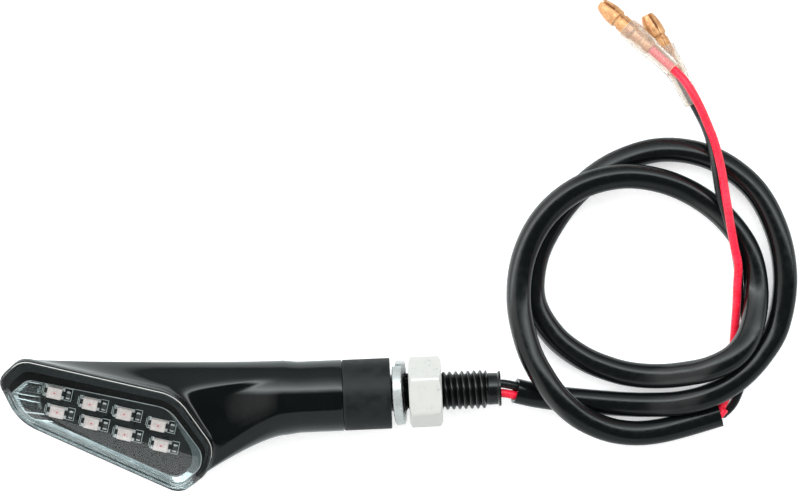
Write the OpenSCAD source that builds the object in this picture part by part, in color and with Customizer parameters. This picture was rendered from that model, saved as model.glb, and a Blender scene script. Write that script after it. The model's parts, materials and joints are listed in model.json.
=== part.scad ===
// Motorcycle turn signal indicator: lamp head on a flexible stem, hollow M8 stud with nut and
// spring washer, and a sleeved two-wire lead that ends in bullet connectors. Millimetres.
// The part lies on a table: floor at z = 0, stud axis along +X, lens facing up.

/* [Lamp head] */

// Outside radius of the housing where it meets the flexible collar
stem_r = 7.35; // [6:0.05:9]
// Wall thickness of the housing at the lens opening
rim_wall = 1.0; // [0.8:0.1:2]
// Thickness of the clear lens plate
lens_t = 1.6; // [1:0.1:3]
// Depth of the circuit board below the lens face
pcb_depth = 3.4; // [3.2:0.1:4.2]
// Thickness of the circuit board
pcb_t = 1.0; // [0.6:0.1:1.6]
// Roll of the lens plane about the stud axis, degrees
lens_roll = 20; // [0:1:45]
// Rise of the lens plane toward the stem, degrees
lens_rise = 4.5; // [0:0.5:10]

/* [Stem and stud] */

// Length of the flexible rubber collar
collar_len = 9.9; // [6:0.1:20]
// Outside radius of the flexible rubber collar
collar_r = 7.3; // [6:0.05:9]
// Thread crest radius of the hollow stud (M8)
thread_r = 4.0; // [3:0.5:6]
// Thread pitch (M8 coarse)
pitch = 1.25; // [0.75:0.25:1.5]
// X of the stud's open end
stud_end = 30.0; // [24:0.5:40]
// Nut width across flats
nut_af = 13; // [10:1:17]
// Nut thickness
nut_t = 6.8; // [5:0.1:8]
// X of the nut's inner face at rest
nut_x = 13.6; // [13:0.1:16]

/* [Lead] */

// Outside diameter of the cable sleeve
sleeve_d = 5.2; // [4:0.1:7]
// Outside diameter of each wire's insulation
wire_d = 1.8; // [1.4:0.1:2.4]
// Bullet connector shoulder radius
bullet_r = 1.95; // [1.75:0.05:2.5]
// How far the clear connector covers reach
cover_len = 13.3; // [10:0.1:18]

/* [Hidden] */

$fn = 48;
shift = [18.7, 3.9, 0];         // stud-axis frame to the part's own frame
axis_z = 7.4;                   // height of the stud axis over the floor

// ---- small vector helpers ----
function unit(v) = v / norm(v);
function lerp(a, b, t) = a + (b - a) * t;
function wrap(i, n) = ((i % n) + n) % n;
function turn(v) = [v[0] * cos(lens_rise) - v[2] * sin(lens_rise), v[1],
                    v[0] * sin(lens_rise) + v[2] * cos(lens_rise)];
function rollx(v) = [v[0], v[1] * cos(lens_roll) - v[2] * sin(lens_roll),
                     v[1] * sin(lens_roll) + v[2] * cos(lens_roll)];
lens_o = [-48, -3, 14.5];       // centre of the lens face
function lens_pt(p) = lens_o + turn(rollx(p));   // lens-plane point to the stud-axis frame

module part() { translate(shift) children(); }
module at_lens() { part() translate(lens_o) rotate([lens_roll, -lens_rise, 0]) children(); }
module on_axis(x) { part() translate([x, 0, axis_z]) rotate([0, 90, 0]) children(); }

// ---- rounded seven-sided outlines, in the lens plane ----
face = [[-22.45, 9.6], [-17.3, 14.2], [14.3, 4.95], [21.2, -6.9], [19.3, -12.8], [13.3, -17.15],
        [-18.9, 0.35]];
opening = [[-19.9, 6.2], [-16.2, 9.05], [12.1, 1.4], [18.2, -8.6], [17.6, -11.8], [13.1, -15.4],
           [-17.9, 1.45]];
tray = [[-14.2, 4.4], [-13.2, 8.2], [11.5, 1.2], [16.2, -8.7], [15.6, -11.9], [12.2, -13.8],
        [-13.6, 0.2]];
cuts = [2.2, 2.4, 3.6, 2.4, 2.2, 2.6, 4.2];      // how far each corner is cut back by its curve
small_cuts = [1.0, 1.2, 2.4, 1.6, 1.2, 1.4, 2.0];
edge_steps = [3, 9, 3, 3, 2, 10, 3];             // extra points along each straight edge

function edge_in(p, q, d) = let (u = unit(q - p)) [p + d * [u[1], -u[0]], q + d * [u[1], -u[0]]];
function cross2(a, b) = a[0] * b[1] - a[1] * b[0];
function meet(e, f) = let (r = e[1] - e[0], s = f[1] - f[0]) e[0] + r * cross2(f[0] - e[0], s) / cross2(r, s);
// the outline moved inward by d[i] along each edge (the corners run clockwise), or by one distance all round
function inset_by(c, d) = let (n = len(c)) [for (i = [0:n - 1]) let (h = wrap(i - 1, n))
  meet(edge_in(c[h], c[i], d[h]), edge_in(c[i], c[wrap(i + 1, n)], d[i]))];
function inset(c, d) = inset_by(c, [for (p = c) d]);
function curve(a, b, c, t) = (1 - t) * (1 - t) * a + 2 * t * (1 - t) * b + t * t * c;
// rounded corners only: five points each
function rounded(c, cut) = let (n = len(c)) [for (i = [0:n - 1])
  let (a = c[i] + cut[i] * unit(c[wrap(i - 1, n)] - c[i]), b = c[i] + cut[i] * unit(c[wrap(i + 1, n)] - c[i]))
  for (t = [0:0.25:1]) curve(a, c[i], b, t)];
// corners and points along the edges: [x, y, place], where place counts corners
function sampled(c, cut) = let (n = len(c)) [for (i = [0:n - 1])
  let (j = wrap(i + 1, n),
       a = c[i] + cut[i] * unit(c[wrap(i - 1, n)] - c[i]), b = c[i] + cut[i] * unit(c[j] - c[i]),
       e = c[j] + cut[j] * unit(c[i] - c[j]), m = edge_steps[i] + 1)
  each concat([for (t = [0:0.25:1]) let (p = curve(a, c[i], b, t)) [p[0], p[1], i + (t - 0.5) * 0.24]],
              [for (k = [1:1:m - 1]) let (p = lerp(b, e, k / m)) [p[0], p[1], i + lerp(0.12, 0.88, k / m)]])];

// ---- closed skins: a list of rings of equal length, joined round and round ----
function quads(m, n, closed) = [for (i = [0:m - (closed ? 1 : 2)]) for (j = [0:n - 1])
  let (a = i * n + j, b = i * n + (j + 1) % n, c = ((i + 1) % m) * n + (j + 1) % n, d = ((i + 1) % m) * n + j)
  each [[a, c, b], [a, d, c]]];
module torus_skin(rings) {
  polyhedron(points = [for (r = rings) each r], faces = quads(len(rings), len(rings[0]), true),
             convexity = 10);
}
module capped_skin(rings) {
  m = len(rings); n = len(rings[0]);
  polyhedron(points = [for (r = rings) each r],
    faces = concat(quads(m, n, false), [[for (j = [0:n - 1]) j]], [[for (j = [n - 1:-1:0]) (m - 1) * n + j]]),
    convexity = 10);
}

// ---- housing: lofted from the lens rim to the round stem ----
seats = [-80, -8, 55, 110, 140, 182, 248, 280];          // angle round the stem that each corner runs to
pull = [46, 37, 12, 7, 8, 12, 41, 46];                   // how far the wall drops before it turns
lean = [0.14, -0.08, 0.0, 0.18, 0.2, 0.26, 0.30, 0.14]; // sideways share of that drop
stem_len = 12;                  // length of the round stretch
neck_r = 7.7;                   // the arm where it turns into the round stem
function at(list, f) =
  let (n = len(list) - 1, g = f < 0 ? f + n : f, i = floor(g)) lerp(list[i], list[i + 1], g - i);
function ring_on_stem(pts, r, x) =
  [for (p = pts) let (a = f_angle(p[2])) [x, r * cos(a), axis_z + r * sin(a)]];
function f_angle(f) = f < 0 ? lerp(280, 248, -f) - 360 : at(seats, f);
function hermite(a, ta, b, tb, s) = (2*s*s*s - 3*s*s + 1) * a + (s*s*s - 2*s*s + s) * ta
  + (3*s*s - 2*s*s*s) * b + (s*s*s - s*s) * tb;
function wall_ring(pts, depth, r, k, s) = [for (p = pts)
  let (a = f_angle(p[2]), from = lens_pt([p[0], p[1], -depth]),
       to = [-stem_len, r * cos(a), axis_z + (r - neck_flat) * sin(a)],
       drop = at(pull, p[2]) * k * unit([0.08, at(lean, p[2]), -0.93]),
       run = [0.8 * (to[0] - from[0]), 0, 0])
  hermite(from, drop, to, run, s)];
outer_pts = sampled(face, cuts);
inner_pts = sampled(inset(face, rim_wall), cuts * 0.8);
rim_depth = lens_t + 0.2;
wall_steps = [0.04, 0.1, 0.18, 0.27, 0.37, 0.48, 0.6, 0.72, 0.85, 1];
inner_steps = [1, 0.85, 0.7, 0.55, 0.42, 0.3, 0.2, 0.1];
neck_flat = 0.35;               // it is this much lower than wide
bore_r = 5.6;                   // inside radius of the arm

module housing() {
  color([0.04, 0.045, 0.05]) part() torus_skin(concat(
    [[for (p = outer_pts) lens_pt([p[0], p[1], -rim_depth])]],
    [for (s = wall_steps) wall_ring(outer_pts, rim_depth, neck_r, 1, s)],
    [ring_on_stem(outer_pts, stem_r, 0)],
    [ring_on_stem(inner_pts, bore_r, 0)],
    [for (s = inner_steps) wall_ring(inner_pts, rim_depth, bore_r, 0.92, s)],
    [[for (p = inner_pts) lens_pt([p[0], p[1], -rim_depth])]]));
}

// ---- what the housing carries under and behind the lens ----
module outline(d) { polygon(rounded(inset(face, d), cuts * 0.8)); }
module slab(z0, z1) { translate([0, 0, z0]) linear_extrude(z1 - z0) children(); }
function flat_ring(c, cut, z) = [for (p = rounded(c, cut)) [p[0], p[1], z]];

module lens() {
  color([0.9, 0.95, 0.95, 0.35]) at_lens() capped_skin([
    flat_ring(inset(face, 0.6), cuts * 0.8, 0), flat_ring(inset(face, 0.18), cuts * 0.9, -0.15),
    flat_ring(face, cuts, -0.55), flat_ring(face, cuts, -lens_t),
    flat_ring(inset(face, 1.35), cuts * 0.8, -lens_t), flat_ring(inset(face, 1.4), cuts * 0.8, -2.2),
    flat_ring(inset(face, 1.95), cuts * 0.7, -2.2), flat_ring(inset(face, 2.0), cuts * 0.7, -lens_t + 0.05)]);
}
bezel_top = -2.25;
bezel_low = -2.5;
module lens_seal() {
  color([0.02, 0.02, 0.02]) at_lens() slab(-rim_depth, -lens_t)
    difference() { outline(0.12); outline(0.92); }
}
module bezel() {
  color([0.02, 0.02, 0.02]) at_lens() slab(bezel_low, bezel_top)
    difference() { outline(1.32); polygon(rounded(opening, small_cuts)); }
}
// tray: clearance from the lens outline along each edge at its top and at its foot; and the board
tray_top = [2.3, 2.1, 1.5, 1.4, 1.32, 1.3, 1.6];
tray_low = [2.8, 2.4, 1.5, 1.4, 1.55, 1.5, 1.7];
tray_rim = bezel_low - 0.05;
tray_foot = -pcb_depth + 0.05;
board = [[-17.6, 5.6], [-16.6, 8.1], [-14.6, 9.5], [10.8, 2.3], [13.0, 0.8], [17.8, -7.2], [16.6, -10.6],
         [14.4, -12.9], [11.8, -13.7], [-13.8, 0.4], [-15.8, 2.4]];
module reflector() {
  color([0.55, 0.58, 0.58]) at_lens() torus_skin([
    flat_ring(inset_by(face, tray_top), cuts * 0.8, tray_rim),
    flat_ring(inset_by(face, tray_low), cuts * 0.8, tray_foot),
    flat_ring(tray, small_cuts, tray_foot), flat_ring(opening, small_cuts, tray_rim)]);
}
module pcb() {
  color([0.05, 0.09, 0.08]) at_lens() slab(-pcb_depth - pcb_t, -pcb_depth)
    polygon(board);
}

// light emitters in two rows of four, each with a chip resistor beside it
led_at = [[-11.1, 5.7], [-4.0, 2.9], [2.8, 0.4], [9.6, -2.4],
          [-10.9, 1.5], [-4.05, -1.25], [2.6, -4.0], [9.85, -6.8]];
row_turn = -16;
led_size = [3.0, 2.35, 0.9];
chip_size = [0.8, 1.6, 0.45];
module on_board(p) { at_lens() translate([p[0], p[1], -pcb_depth]) rotate(row_turn) children(); }
module led(i) {
  color([0.95, 0.93, 0.88]) on_board(led_at[i])
    translate([-led_size[0] / 2, -led_size[1] / 2, 0]) cube(led_size);
}
module resistor(i) {
  color([0.1, 0.1, 0.1]) on_board(led_at[i]) translate([2.5, -chip_size[1] / 2, 0]) cube(chip_size);
}
module led_1() { led(0); }
module led_2() { led(1); }
module led_3() { led(2); }
module led_4() { led(3); }
module led_5() { led(4); }
module led_6() { led(5); }
module led_7() { led(6); }
module led_8() { led(7); }
module resistor_1() { resistor(0); }
module resistor_2() { resistor(1); }
module resistor_3() { resistor(2); }
module resistor_4() { resistor(3); }
module resistor_5() { resistor(4); }
module resistor_6() { resistor(5); }
module resistor_7() { resistor(6); }
module resistor_8() { resistor(7); }
board_back = -pcb_depth - pcb_t;
module diode() {
  color([0.1, 0.1, 0.1]) at_lens() translate([-1, -4.6, board_back - 2]) cube([4.2, 2.6, 2.0]);
}
joint_red = [7.6, -7.2];
joint_black = [9.6, -4.4];
module solder(p) {
  color([0.75, 0.76, 0.78]) at_lens()
    translate([p[0], p[1], board_back - 0.8]) cylinder(h = 0.8, r1 = 0.95, r2 = 1.2);
}
module solder_red() { solder(joint_red); }
module solder_black() { solder(joint_black); }

// ---- swept round tubes: one ring of points per station, with a level reference direction ----
function dir_at(p, i) = unit(p[min(i + 1, len(p) - 1)] - p[max(i - 1, 0)]);
function side_of(d) = unit(cross([0, 0, 1], d));
function tube_ring(c, d, r, n) = let (s = side_of(d), u = cross(d, s))
  [for (j = [0:n - 1]) c + r * (cos(360 * j / n) * s + sin(360 * j / n) * u)];
function tube_rings(p, r, n) = [for (i = [0:len(p) - 1]) tube_ring(p[i], dir_at(p, i), r, n)];
function rev(list) = [for (i = [len(list) - 1:-1:0]) list[i]];
// a point of the smooth curve through the route, at place f
function smooth(p, f) = let (n = len(p) - 1, i = min(floor(f), n - 1), t = f - i,
    a = p[max(i - 1, 0)], b = p[i], c = p[i + 1], d = p[min(i + 2, n)])
  0.5 * (2 * b + (c - a) * t + (2 * a - 5 * b + 4 * c - d) * t * t + (3 * b - a - 3 * c + d) * t * t * t);
function resample(p, m) = [for (k = [0:m]) smooth(p, (len(p) - 1) * k / m)];
module rod_along(p, r, n) { capped_skin(tube_rings(p, r, n)); }
module pipe_along(p, r, bore, n) {
  torus_skin(concat(tube_rings(p, r, n), rev(tube_rings(p, bore, n))));
}

// ---- leads between the board and the stem ----
wire_gap = 0.98;                // each wire's distance from the stud axis
lead_end = 2.5;
function lead_path(p, y) = [
  lens_pt([p[0], p[1], board_back - 0.8]), lens_pt([p[0] + 0.4, p[1] + 0.1, board_back - 1.6]),
  lerp(lens_pt([p[0] + 2.5, p[1] + 1.2, board_back - 2.2]), [-26, y * 1.2, axis_z], 0.15),
  [-22, y * 1.1, axis_z], [-17, y, axis_z], [-10, y, axis_z], [lead_end, y, axis_z]];
module lead_red() {
  color([0.85, 0.05, 0.1]) part() rod_along(lead_path(joint_red, -wire_gap), wire_d / 2, 8);
}
module lead_black() {
  color([0.03, 0.03, 0.03]) part() rod_along(lead_path(joint_black, wire_gap), wire_d / 2, 8);
}

// ---- stem: retainer, flexible collar and the hollow stud ----
plug_len = 6;
flange_x = 6.4;
flange_t = 2.0;
flange_r = 5.3;
stud_bore = 2.3;
shank_r = 3.8;
module tube(x0, x1, r, bore) {
  on_axis(x0) difference() {
    cylinder(h = x1 - x0, r = r);
    translate([0, 0, -1]) cylinder(h = x1 - x0 + 2, r = bore);
  }
}
plug_r = 5.35;                  // fits the housing bore
module stem_insert() { color([0.7, 0.71, 0.73]) tube(-plug_len - 1.2, -plug_len, plug_r, 2.6); }
module collar() {
  color([0.05, 0.055, 0.06]) on_axis(0) rotate_extrude() polygon([[stud_bore, -plug_len], [plug_r, -plug_len],
    [plug_r, 0], [stem_r - 0.15, 0], [collar_r, 0.15], [collar_r, collar_len - 0.2],
    [collar_r - 0.2, collar_len], [shank_r + 0.02, collar_len], [shank_r + 0.02, flange_x + flange_t + 0.02],
    [flange_r + 0.02, flange_x + flange_t + 0.02], [flange_r + 0.02, flange_x - 0.02],
    [stud_bore, flange_x - 0.02]]);
}
// thread as rings of the right pitch and depth; those hidden by the nut are cut a little lower
root_r = thread_r - 0.6134 * pitch;
crest = pitch / 8;
free_rings = 7;                 // thread rings that stand clear of the nut
hidden_rings = 8;
thread_x0 = stud_end - 0.45 - (free_rings + hidden_rings) * pitch;
module stud() {
  color([0.03, 0.03, 0.03]) on_axis(0) difference() {
    rotate_extrude($fn = 32) polygon(concat(
      [[0, flange_x], [flange_r, flange_x], [flange_r, flange_x + flange_t], [shank_r, flange_x + flange_t],
       [shank_r, thread_x0 - 0.3]],
      [for (i = [0:free_rings + hidden_rings - 1])
        let (x = thread_x0 + i * pitch, r = i < hidden_rings ? shank_r : thread_r) each
        [[root_r, x - 0.08], [root_r, x + 0.08],
         [r, x + pitch / 2 - crest / 2], [r, x + pitch / 2 + crest / 2]]],
      [[root_r, stud_end - 0.53], [root_r, stud_end], [0, stud_end]]));
    translate([0, 0, flange_x - 1]) cylinder(h = stud_end, r = stud_bore, $fn = 32);
  }
}

// ---- split spring washer: a rectangular section wound through one helical turn ----
washer_x = 10.58;
washer_in = 4.25;
washer_out = 6.6;
washer_t = 1.9;
washer_rise = 0.5;
washer_tilt = 0.075;            // it hangs a little aslant on the thread
split_at = 28;                  // degrees up from the +Y side
module spring_washer() {
  steps = 44;
  color([0.78, 0.79, 0.8]) part() capped_skin([for (i = [0:steps])
    let (a = split_at + 4 + 352 * i / steps, x = washer_x + washer_rise * i / steps)
    [for (q = [[washer_in, 0], [washer_in, washer_t], [washer_out, washer_t], [washer_out, 0]])
      [x + q[1] - washer_tilt * q[0] * sin(a), q[0] * cos(a), axis_z + q[0] * sin(a)]]]);
}

// ---- hexagon nut ----
nut_bore = thread_r + 0.05;
nut_corner = nut_af / 2 / cos(30);
module hex_nut() {
  color([0.8, 0.81, 0.82]) on_axis(nut_x) difference() {
    intersection() {
      rotate(22) cylinder(h = nut_t, r = nut_corner, $fn = 6);
      rotate_extrude() polygon([[0, 0], [nut_af / 2 - 0.05, 0], [nut_corner + 0.1, 0.65],
                                [nut_corner + 0.1, nut_t - 0.65],
        [nut_af / 2 - 0.05, nut_t], [0, nut_t]]);
    }
    translate([0, 0, -1]) cylinder(h = nut_t + 2, r = nut_bore);
    translate([0, 0, -0.01]) cylinder(h = 0.45, r1 = nut_bore + 0.45, r2 = nut_bore);
    translate([0, 0, nut_t - 0.44]) cylinder(h = 0.45, r1 = nut_bore, r2 = nut_bore + 0.45);
  }
}

// ---- strain relief grommet in the stud's open end ----
grommet_end = stud_end + 2.6;
module grommet() {
  color([0.03, 0.03, 0.035]) on_axis(0) difference() {
    rotate_extrude() polygon([
      [0, stud_end - 4], [stud_bore - 0.05, stud_end - 4], [stud_bore - 0.05, stud_end], [3.3, stud_end],
      [3.3, grommet_end - 0.5], [3.65, grommet_end - 0.5], [3.65, grommet_end], [0, grommet_end]]);
    for (y = [-wire_gap, wire_gap])
      translate([0, y, stud_end - 5]) cylinder(h = 10, r = wire_d / 2 + 0.04, $fn = 24);
  }
}

// ---- cable sleeve: an open-ended tube lying in a loose double coil ----
sleeve_route = [
  [35.5, -0.6, 6.9], [39.1, -1.6, 5.9], [43.4, -2.5, 4.4], [48.6, -3.3, 3], [57.3, -4.4, 2.7],
  [63.2, -4.8, 3.1], [69.4, -4.7, 4.7], [75.7, -3.3, 6.4], [81.6, -0.1, 5.8], [86.6, 4.6, 4.1],
  [90.4, 10.6, 2.8], [92.3, 20.1, 2.6], [91, 30, 2.6], [86.4, 39.2, 2.6], [78.1, 45.6, 2.6],
  [68, 47.7, 2.6], [58.3, 45.3, 2.6], [50.6, 40.2, 2.6], [44.9, 33.7, 2.6], [41, 26.2, 2.6],
  [40.2, 17.8, 2.6], [43.9, 10.5, 2.6], [49.6, 5.6, 2.6], [55.8, 2.7, 2.6], [60.9, 1.4, 2.7],
  [65.9, 1, 3.7], [70.7, 1.3, 6], [76, 2.3, 8.8], [81.1, 4.9, 9.2], [84.5, 9.6, 7.2],
  [86.2, 17.2, 4.2], [85.1, 25.5, 3.6], [80.8, 32.6, 3.6], [74.5, 38, 4.2], [67.1, 41.4, 6.1],
  [58.9, 42.5, 7.8], [50.4, 40.5, 8.3], [43.1, 35, 8], [38.5, 27, 7.8], [37, 17.7, 8.4],
  [38.5, 8.3, 9.5], [41.6, 1.5, 10.1], [45.1, -3.4, 9.3], [49.9, -7.4, 6.9], [56.7, -10.1, 4],
  [65, -10.3, 2.7], [77.7, -7.4, 2.6]];
sleeve_bore = 2.1;
module cable_sleeve() {
  color([0.03, 0.03, 0.035]) part() pipe_along(resample(sleeve_route, 77), sleeve_d / 2, sleeve_bore, 10);
}

// ---- the two wires: stud, grommet, sleeve, then loose to their connectors ----
red_route = [
  [77.7, -6.5, 3.1], [78.9, -4.3, 2.4], [79.7, -1.4, 1.4], [80.5, 2.9, 1], [81.2, 7.2, 1],
  [81.6, 10.9, 2], [82, 15, 3.6], [82.2, 18.7, 5.3], [82.5, 23.2, 7.5], [81.9, 26.6, 8.8], [81.3, 30.7, 9.3],
  [80.9, 34.1, 9.4], [80.4, 38.2, 9.1], [79.8, 43.4, 8.9], [78.7, 48.6, 9], [77.6, 51.9, 9.1],
  [76.2, 55.6, 9.2], [74.6, 59, 8.9], [73.1, 61.6, 8.4]];
black_route = [
  [78.4, -7.4, 1.2], [80.6, -5.3, 1], [82.2, -1.9, 1], [83.3, 2.4, 1],
  [83.9, 6.9, 1], [83.9, 10.8, 1], [83.2, 15, 1.6], [82.8, 18.7, 3.2], [82.5, 23.1, 5.4], [82, 26.6, 6.8],
  [81.4, 30.1, 7.3], [80.4, 33.9, 7.4], [79.4, 37.8, 7.2], [78.7, 43.5, 6.6], [78.1, 48.2, 5.4],
  [77.3, 51.5, 3.6], [76.4, 53.9, 2.5]];
twist_end = 90;                 // the pair turns a quarter turn inside the sleeve
function in_sleeve(side) = let (n = len(sleeve_route) - 1) [for (i = [0:n])
  let (d = dir_at(sleeve_route, i), s = side_of(d), u = cross(d, s), a = -twist_end * i / n)
  sleeve_route[i] + side * 0.95 * (cos(a) * s + sin(a) * u)];
function in_stud(side) = [for (x = [lead_end, 12, 22, 30, 32.8]) [x, side * wire_gap, axis_z]];
// connectors: front tip and rear end of the cover, level or leaning on the lead
connector_len = 20.9;
red_tip = [56.7, 78.5, 2.9];
red_dir = unit([-14.6, 14.8, -4.9]);
black_tip = [66.0, 75.8, 2.3];
black_dir = unit([-8.9, 18.7, 0]);
function in_plug(tip, d) = [for (s = [-0.4, 3, 10]) tip - (connector_len - s) * d];
module wire(side, route, tip, d) {
  part() rod_along(concat(in_stud(side), in_sleeve(side), route, in_plug(tip, d)), wire_d / 2, 8);
}
module wire_red() { color([0.9, 0.05, 0.12]) wire(-1, red_route, red_tip, red_dir); }
module wire_black() { color([0.03, 0.03, 0.035]) wire(1, black_route, black_tip, black_dir); }

// ---- bullet connectors and their clear covers ----
module plug_at(tip, d) {
  part() translate(tip - connector_len * d) rotate([0, acos(d[2]), atan2(d[1], d[0])]) children();
}
nose = 1.25;
barrel_back = 6.4;
module bullet() {
  difference() {
    rotate_extrude() polygon([[0, barrel_back], [1.3, barrel_back], [1.35, 11.2], [1.8, 11.8], [1.8, 14.9],
      [1.6, 15.0], [1.6, 15.8], [bullet_r, 16.0], [bullet_r, 18.0], [nose, connector_len - 0.25],
      [nose - 0.25, connector_len], [0, connector_len]]);
    translate([0, 0, barrel_back - 1]) cylinder(h = 5, r = wire_d / 2 + 0.02);
    translate([0, 0, 13.4]) cylinder(h = 8, r = 0.75);
    translate([-3, -0.25, 15.9]) cube([6, 0.5, 6]);
  }
}
module cover() {
  rotate_extrude() polygon([
    [1.45, 0], [1.9, 0], [1.95, 6.4], [2.25, 7.3], [2.25, cover_len], [1.9, cover_len],
    [1.9, 7.6], [1.5, 6.6]]);
}
module bullet_red() { color([0.85, 0.62, 0.3]) plug_at(red_tip, red_dir) bullet(); }
module bullet_black() { color([0.85, 0.62, 0.3]) plug_at(black_tip, black_dir) bullet(); }
module cover_red() { color([0.9, 0.9, 0.88, 0.5]) plug_at(red_tip, red_dir) cover(); }
module cover_black() { color([0.9, 0.9, 0.88, 0.5]) plug_at(black_tip, black_dir) cover(); }

housing();
lens();
lens_seal();
bezel();
reflector();
pcb();
led_1();
led_2();
led_3();
led_4();
led_5();
led_6();
led_7();
led_8();
resistor_1();
resistor_2();
resistor_3();
resistor_4();
resistor_5();
resistor_6();
resistor_7();
resistor_8();
diode();
solder_red();
solder_black();
lead_red();
lead_black();
stem_insert();
collar();
stud();
spring_washer();
hex_nut();
grommet();
cable_sleeve();
wire_red();
wire_black();
bullet_red();
bullet_black();
cover_red();
cover_black();
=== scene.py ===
# Looks of the turn signal indicator: lamp head with clear lens, flexible stem, hollow stud with
# washer and nut, and a sleeved two-wire lead with bullet connectors. Metres, in the part's frame.
import json
import math
import random

import bmesh
import bpy
import numpy as np
from mathutils import Matrix, Vector


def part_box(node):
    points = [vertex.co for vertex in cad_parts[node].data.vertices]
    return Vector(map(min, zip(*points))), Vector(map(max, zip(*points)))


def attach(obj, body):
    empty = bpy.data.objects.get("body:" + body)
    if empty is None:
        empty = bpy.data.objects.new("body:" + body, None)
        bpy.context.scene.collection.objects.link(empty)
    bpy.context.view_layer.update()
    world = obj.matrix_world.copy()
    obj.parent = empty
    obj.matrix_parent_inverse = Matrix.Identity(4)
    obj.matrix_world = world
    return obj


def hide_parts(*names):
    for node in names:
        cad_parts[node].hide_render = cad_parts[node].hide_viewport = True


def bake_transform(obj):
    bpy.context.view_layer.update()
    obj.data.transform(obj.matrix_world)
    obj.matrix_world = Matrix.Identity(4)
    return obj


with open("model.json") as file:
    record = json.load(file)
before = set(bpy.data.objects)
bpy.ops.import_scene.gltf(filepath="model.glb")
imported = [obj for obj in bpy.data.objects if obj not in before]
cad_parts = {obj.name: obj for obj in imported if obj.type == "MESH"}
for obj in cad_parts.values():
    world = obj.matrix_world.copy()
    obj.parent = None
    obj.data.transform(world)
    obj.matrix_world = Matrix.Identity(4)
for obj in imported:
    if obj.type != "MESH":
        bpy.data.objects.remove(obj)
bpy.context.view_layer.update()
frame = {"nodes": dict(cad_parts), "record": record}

MM = 0.001

# ---------------------------------------------------------------- frame of the stud axis
# Millimetres along the stud from the housing's seam, across it, and up from the floor.
stud_lo, stud_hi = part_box("stud")
collar_lo, collar_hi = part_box("collar")
PLUG = 6.0                                  # the collar's plug reaches this far into the housing
SEAM = Vector((collar_lo.x + PLUG * MM, (stud_lo.y + stud_hi.y) / 2, 0))
AXIS_Z = (stud_lo.z + stud_hi.z) / 2 / MM
STUD_END = (stud_hi.x - SEAM.x) / MM
COLLAR_END = (collar_hi.x - SEAM.x) / MM
NUT_X = (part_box("hex_nut")[0].x - SEAM.x) / MM
NUT_END = (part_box("hex_nut")[1].x - SEAM.x) / MM


def row(p):
    """Millimetres in the stud-axis frame to metres in the part's frame."""
    return SEAM + Vector(p) * MM


# ---------------------------------------------------------------- camera
# Straight down, from far enough away that the view is nearly parallel.
VIEW_WIDTH = 0.16495
VIEW_CENTRE = row((13.08, 30.30, 6.0))
VIEW_TURN = math.radians(-2.484)
cam_data = bpy.data.cameras.new("camera")
cam_data.sensor_width = 36
cam_data.lens = 300
camera = bpy.data.objects.new("camera", cam_data)
bpy.context.scene.collection.objects.link(camera)
distance = VIEW_WIDTH * cam_data.lens / cam_data.sensor_width
camera.location = VIEW_CENTRE + Vector((0, 0, distance))
camera.rotation_euler = (0, 0, VIEW_TURN)
cam_data.clip_start = 0.05
cam_data.clip_end = 20
bpy.context.scene.camera = camera


# ---------------------------------------------------------------- materials
def material(name, color=(0.5, 0.5, 0.5), rough=0.5, metal=0.0, **sockets):
    m = bpy.data.materials.new(name)
    m.use_nodes = True
    b = m.node_tree.nodes["Principled BSDF"]
    b.inputs["Base Color"].default_value = (*color, 1)
    b.inputs["Roughness"].default_value = rough
    b.inputs["Metallic"].default_value = metal
    for key, value in sockets.items():
        b.inputs[key.replace("_", " ")].default_value = value
    return m


class Nodes:
    """Short names for adding nodes to a material."""

    def __init__(self, m):
        self.tree = m.node_tree
        self.shader = self.tree.nodes["Principled BSDF"]

    def add(self, kind, **values):
        n = self.tree.nodes.new(kind)
        for key, value in values.items():
            if key in n.inputs:
                n.inputs[key].default_value = value
            else:
                setattr(n, key, value)
        return n

    def link(self, a, b):
        self.tree.links.new(a, b)

    def place(self, scale=(1, 1, 1)):
        """Object coordinates in millimetres, stretched by scale."""
        c = self.add("ShaderNodeTexCoord")
        v = self.add("ShaderNodeVectorMath", operation="MULTIPLY")
        v.inputs[1].default_value = [1000 * s for s in scale]
        self.link(c.outputs["Object"], v.inputs[0])
        return v.outputs[0]

    def noise(self, scale, detail=3.0, stretch=(1, 1, 1), rough=0.5):
        n = self.add("ShaderNodeTexNoise", Scale=scale, Detail=detail, Roughness=rough)
        self.link(self.place(stretch), n.inputs["Vector"])
        return n.outputs["Fac"]

    def between(self, fac, stops):
        """A colour or grey ramp: stops are (place, (r, g, b)) pairs."""
        r = self.add("ShaderNodeValToRGB")
        ramp = r.color_ramp
        while len(ramp.elements) < len(stops):
            ramp.elements.new(0.5)
        for e, (place, c) in zip(ramp.elements, stops):
            e.position = place
            e.color = (*c, 1) if isinstance(c, tuple) else (c, c, c, 1)
        self.link(fac, r.inputs["Fac"])
        return r.outputs["Color"]


    def paint(self, value, stops):
        """Colours the surface by a value between the stops."""
        self.link(self.between(value, stops), self.shader.inputs["Base Color"])
    def rough(self, fac, low, high, a=0.35, b=0.65):
        m = self.add("ShaderNodeMapRange")
        for key, value in zip(("From Min", "From Max", "To Min", "To Max"), (a, b, low, high)):
            m.inputs[key].default_value = value
        self.link(fac, m.inputs["Value"])
        self.link(m.outputs["Result"], self.shader.inputs["Roughness"])

    def bump(self, fac, depth_mm, strength=1.0, after=None):
        b = self.add("ShaderNodeBump", Strength=strength, Distance=depth_mm * MM)
        self.link(fac, b.inputs["Height"])
        if after is not None:
            self.link(after, b.inputs["Normal"])
        self.link(b.outputs["Normal"], self.shader.inputs["Normal"])
        return b.outputs["Normal"]


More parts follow.
